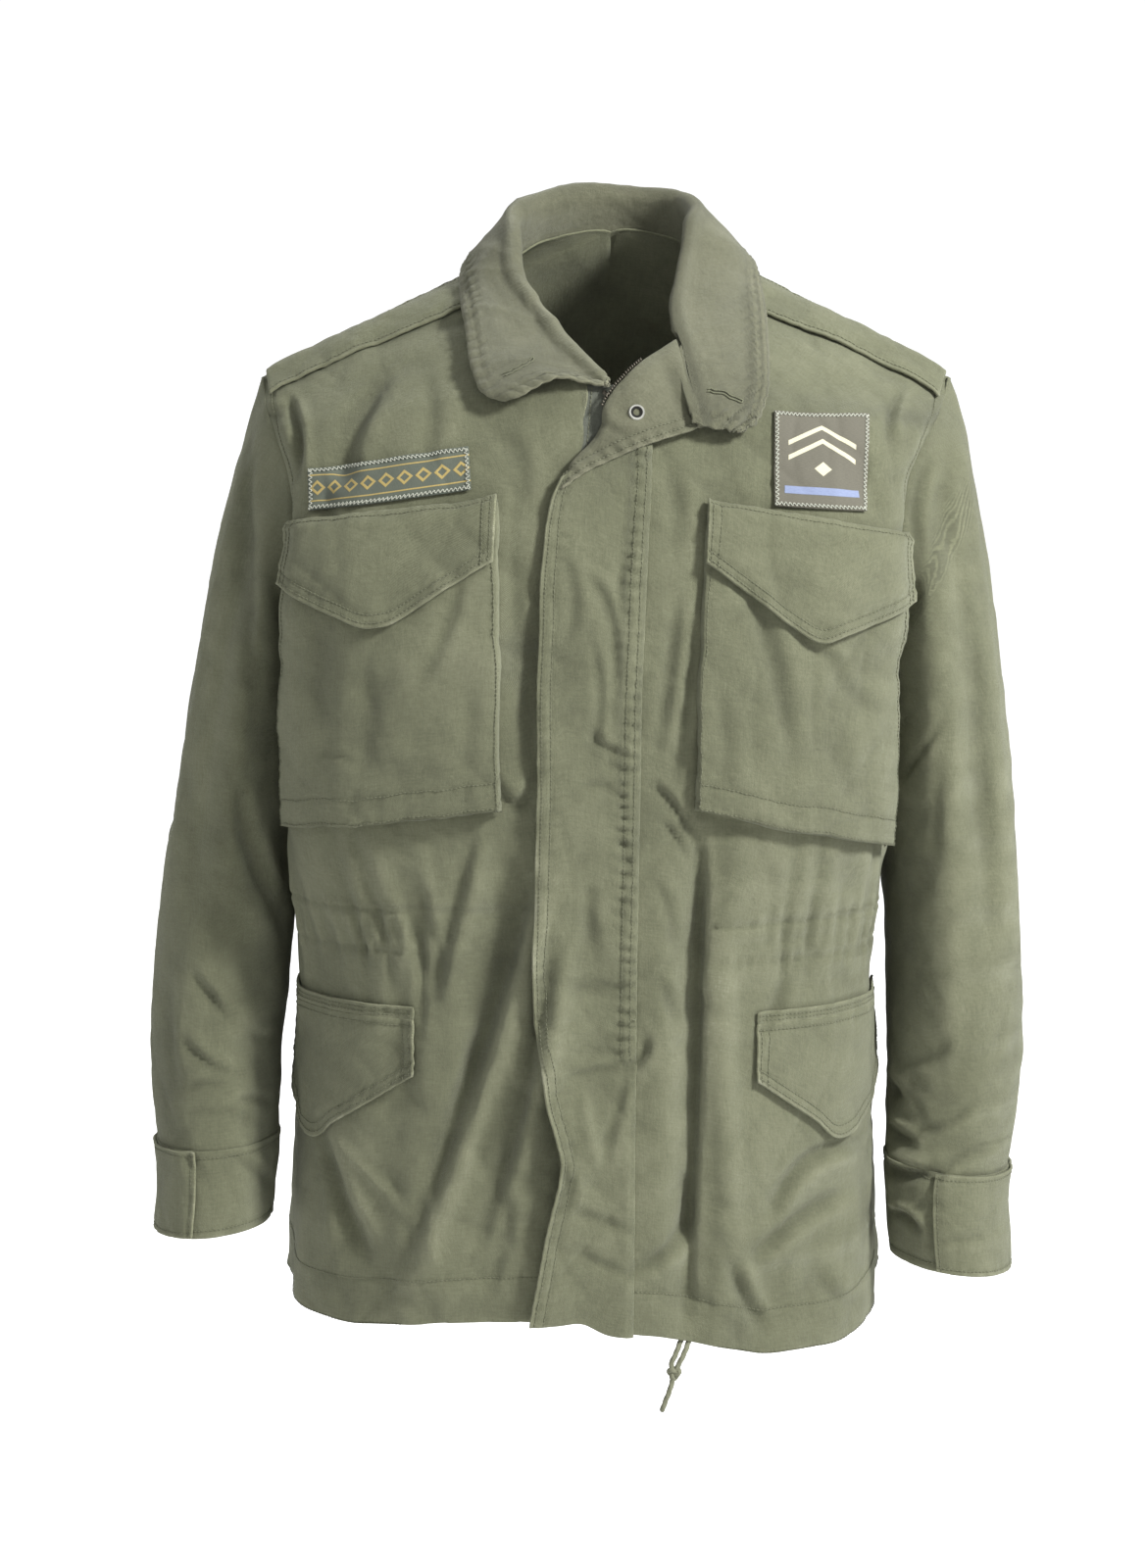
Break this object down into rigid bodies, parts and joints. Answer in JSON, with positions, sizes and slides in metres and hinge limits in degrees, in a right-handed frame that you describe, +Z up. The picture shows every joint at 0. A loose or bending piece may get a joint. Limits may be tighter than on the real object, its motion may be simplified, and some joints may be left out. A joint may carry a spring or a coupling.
{
  "type": "field jacket",
  "caption": "Olive cotton field jacket in its worn form, with a folded collar, storm flap, four flap pockets, shoulder loops, cuff tabs and a hem drawcord.",
  "frame": {"origin": "where the wearer's neck passes through the collar, on the jacket's centre line", "axes": "+Z up along the wearer, -Y out of the jacket's front, +X towards the wearer's left"},
  "size_m": [0.6171, 0.3046, 0.8299],
  "materials": {
    "olive": "matte",
    "olive_worn": "matte",
    "tape": "matte",
    "patch": "matte",
    "cord": "matte",
    "metal": "satin"
  },
  "bodies": {
    "root": {"front_right": "olive", "front_left": "olive", "back": "olive", "sleeve_right": "olive", "sleeve_left": "olive", "cuff_right": "olive", "cuff_left": "olive", "cuff_tab_right": "olive", "cuff_tab_left": "olive", "fly": "olive", "pocket_chest_right": "olive", "pocket_chest_left": "olive", "flap_chest_right": "olive", "flap_chest_left": "olive", "welt_right": "olive", "welt_left": "olive", "flap_lower_right": "olive", "flap_lower_left": "olive", "shoulder_loop_right": "olive", "shoulder_loop_left": "olive", "collar": "olive_worn", "lapel": "olive_worn", "name_tape": "tape", "zip_tape": "tape", "badge": "patch", "hem_cord": "cord", "hem_cord_end": "cord", "hem_cord_knot": "cord", "snap_socket": "metal"}
  },
  "joints": []
}
